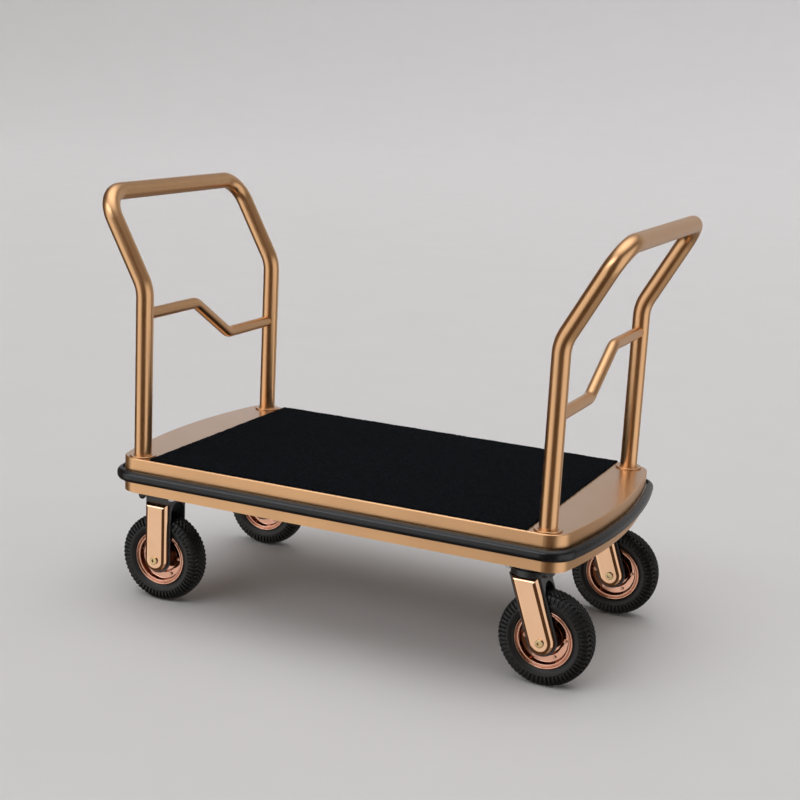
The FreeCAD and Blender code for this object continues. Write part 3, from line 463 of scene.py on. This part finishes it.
def tyre(caster, material, rings):
    """The tyre of one caster: carcass, zigzag crown ribs and shoulder lugs in one skin."""
    low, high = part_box(f"tyre_{caster}")
    centre = (low + high) / 2
    count = PITCHES * STEPS
    angle = 2 * math.pi * np.arange(count) / count
    points = []
    for out, radius in rings:
        points.append(np.stack([centre.x + radius * np.sin(angle), centre.y + out,
                                centre.z - radius * np.cos(angle)], -1))
    points = np.concatenate(points)
    faces = []
    for ring in range(len(rings)):
        here = ring * count
        there = (ring + 1) % len(rings) * count
        for step in range(count):
            beside = (step + 1) % count
            faces.append((here + step, here + beside, there + beside, there + step))
    made = piece(f"tyre_treaded_{caster}", points, faces, material, sharp_deg=28.0)
    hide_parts(f"tyre_{caster}")
    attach(made, f"wheel_{caster}")


# ------------------------------------------------------------ stage, light and camera

FLOOR_INNER = 3.0
FLOOR_RADIUS = 16.0
COVE_RADIUS = 6.0
COVE_STEPS = 12
WALL_TOP = 12.0
FLOOR_SIDES = 96


def stage():
    """A plain pale floor that sweeps up into a wall all round."""
    profile = [(0.0, 0.0), (FLOOR_INNER, 0.0), (FLOOR_RADIUS, 0.0)]
    for step in range(1, COVE_STEPS + 1):
        a = math.radians(90.0 * step / COVE_STEPS)
        profile.append((FLOOR_RADIUS + COVE_RADIUS * math.sin(a), COVE_RADIUS * (1 - math.cos(a))))
    profile.append((FLOOR_RADIUS + COVE_RADIUS, WALL_TOP))
    points = [(0.0, 0.0, 0.0)]
    faces = []
    for radius, height in profile[1:]:
        for k in range(FLOOR_SIDES):
            a = 2 * math.pi * k / FLOOR_SIDES
            points.append((radius * math.cos(a), radius * math.sin(a), height))
    for k in range(FLOOR_SIDES):
        faces.append((0, 1 + k, 1 + (k + 1) % FLOOR_SIDES))
    for ring in range(len(profile) - 2):
        here = 1 + ring * FLOOR_SIDES
        for k in range(FLOOR_SIDES):
            j = (k + 1) % FLOOR_SIDES
            faces.append((here + k, here + FLOOR_SIDES + k, here + FLOOR_SIDES + j, here + j))
    p = Painter("pale_floor")
    mottle = p.noise(3.0, detail=4.0)
    p.set(Base_Color=p.mix(mottle, rgb(0.715, 0.715, 0.718), rgb(0.745, 0.745, 0.748)), Roughness=0.75,
          Specular_IOR_Level=0.2)
    floor = piece("floor", points, faces, p.material)
    floor.visible_glossy = False


# Light panels: middle azimuth, half width, lowest and highest elevation and edge softness
# in degrees, then colour. Azimuth 0 is the cart's front and 90 its right end.
LEFT_PANEL = (-38.0, 20.0, -28.0, 26.0, 12.0, (0.82, 0.82, 0.82))
LEFT_BAR = (-56.0, 8.0, -28.0, 26.0, 8.0, (0.16, 0.16, 0.16))
RIGHT_PANEL = (86.0, 26.0, -28.0, 14.0, 12.0, (0.86, 0.86, 0.86))
RIGHT_FILL = (84.0, 34.0, -70.0, -38.0, 14.0, (0.24, 0.24, 0.24))
BACK_PANEL = (175.0, 52.0, -60.0, 45.0, 16.0, (0.13, 0.135, 0.14))
BACK_UPPER = (170.0, 20.0, -16.0, 26.0, 12.0, (0.25, 0.26, 0.27))
BACK_BAND = (213.0, 12.0, 8.0, 16.0, 7.0, (0.42, 0.455, 0.50))
FRONT_STRIP = (-22.0, 24.0, 26.0, 40.0, 6.0, (2.4, 2.45, 2.6))
PANELS = (LEFT_PANEL, LEFT_BAR, RIGHT_PANEL, RIGHT_FILL, BACK_PANEL, BACK_UPPER, BACK_BAND, FRONT_STRIP)
OVERHEAD = (1.65, 1.66, 1.68)
OVERHEAD_FROM = 35.0
OVERHEAD_FULL = 75.0
DIM_ROOM = (0.085, 0.053, 0.030)


def sky():
    """Soft studio surroundings, as bright bands of direction round a dim warm room."""
    world = bpy.data.worlds.new("studio")
    bpy.context.scene.world = world
    world.use_nodes = True
    world.cycles.sampling_method = "NONE"
    tree = world.node_tree
    tree.nodes.clear()
    links = tree.links
    direction = tree.nodes.new("ShaderNodeTexCoord").outputs["Generated"]
    split = tree.nodes.new("ShaderNodeSeparateXYZ")
    links.new(direction, split.inputs[0])

    def math_node(operation, first, second=0.0):
        made = tree.nodes.new("ShaderNodeMath")
        made.operation = operation
        for socket, value in zip(made.inputs, (first, second)):
            if isinstance(value, bpy.types.NodeSocket):
                links.new(value, socket)
            else:
                socket.default_value = value
        return made.outputs[0]

    def smooth(value, low, high):
        made = tree.nodes.new("ShaderNodeMapRange")
        made.interpolation_type = "SMOOTHSTEP"
        links.new(value, made.inputs["Value"])
        made.inputs["From Min"].default_value = low
        made.inputs["From Max"].default_value = high
        return made.outputs["Result"]

    height = math_node("ARCSINE", split.outputs["Z"])
    backward = math_node("MULTIPLY", split.outputs["Y"], -1.0)
    azimuth = math_node("ARCTAN2", split.outputs["X"], backward)

    def panel(centre, half, low, high, soft):
        """1 inside a panel of azimuths and heights, in degrees, with soft edges."""
        turn = math_node("SUBTRACT", azimuth, math.radians(centre))
        turn = math_node("COSINE", turn)
        inside = smooth(turn, math.cos(math.radians(half + soft)), math.cos(math.radians(half)))
        above = smooth(height, math.radians(low - soft), math.radians(low))
        below = smooth(height, math.radians(high + soft), math.radians(high))
        return math_node("MULTIPLY", inside, math_node("MULTIPLY", above, below))

    def add_light(base, share, colour):
        scaled = tree.nodes.new("ShaderNodeVectorMath")
        scaled.operation = "SCALE"
        scaled.inputs[0].default_value = colour
        links.new(share, scaled.inputs["Scale"])
        added = tree.nodes.new("ShaderNodeVectorMath")
        added.operation = "ADD"
        links.new(scaled.outputs[0], added.inputs[0])
        if isinstance(base, bpy.types.NodeSocket):
            links.new(base, added.inputs[1])
        else:
            added.inputs[1].default_value = base
        return added.outputs[0]

    light = DIM_ROOM
    for centre, half, low, high, soft, colour in PANELS:
        light = add_light(light, panel(centre, half, low, high, soft), colour)
    overhead = smooth(height, math.radians(OVERHEAD_FROM), math.radians(OVERHEAD_FULL))
    light = add_light(light, overhead, OVERHEAD)
    background = tree.nodes.new("ShaderNodeBackground")
    links.new(light, background.inputs["Color"])
    background.inputs["Strength"].default_value = 1.0
    output = tree.nodes.new("ShaderNodeOutputWorld")
    links.new(background.outputs[0], output.inputs["Surface"])


CAMERA_AZIMUTH = 24.175
CAMERA_ELEVATION = 13.009
CAMERA_ROLL = 2.965
CAMERA_DISTANCE = 3.3853
CAMERA_RIGHT = 0.02005
CAMERA_UP = 0.07620
LENS_MM = 68.143
TARGET = Vector((0.0, 0.0, 0.4))


def camera():
    a, e, roll = (math.radians(v) for v in (CAMERA_AZIMUTH, CAMERA_ELEVATION, CAMERA_ROLL))
    back = Vector((math.sin(a) * math.cos(e), -math.cos(a) * math.cos(e), math.sin(e)))
    level_right = Vector((math.cos(a), math.sin(a), 0.0))
    level_up = back.cross(level_right)
    right = math.cos(roll) * level_right + math.sin(roll) * level_up
    up = math.cos(roll) * level_up - math.sin(roll) * level_right
    data = bpy.data.cameras.new("camera")
    data.sensor_width = 36.0
    data.lens = LENS_MM
    data.clip_end = 200.0
    made = bpy.data.objects.new("camera", data)
    bpy.context.scene.collection.objects.link(made)
    place = TARGET + back * CAMERA_DISTANCE + right * CAMERA_RIGHT + up * CAMERA_UP
    turn = Matrix((right, up, back)).transposed().to_4x4()
    made.matrix_world = Matrix.Translation(place) @ turn
    bpy.context.scene.camera = made


# ------------------------------------------------------------ the scene

camera()
materials = slot_materials()
dress_nodes(materials)
carpet(materials["carpet"])
rings = tyre_rings()
for caster in CASTERS:
    tyre(caster, materials["tyre_rubber"], rings)
stage()
sky()
bpy.context.scene.view_settings.view_transform = "Standard"
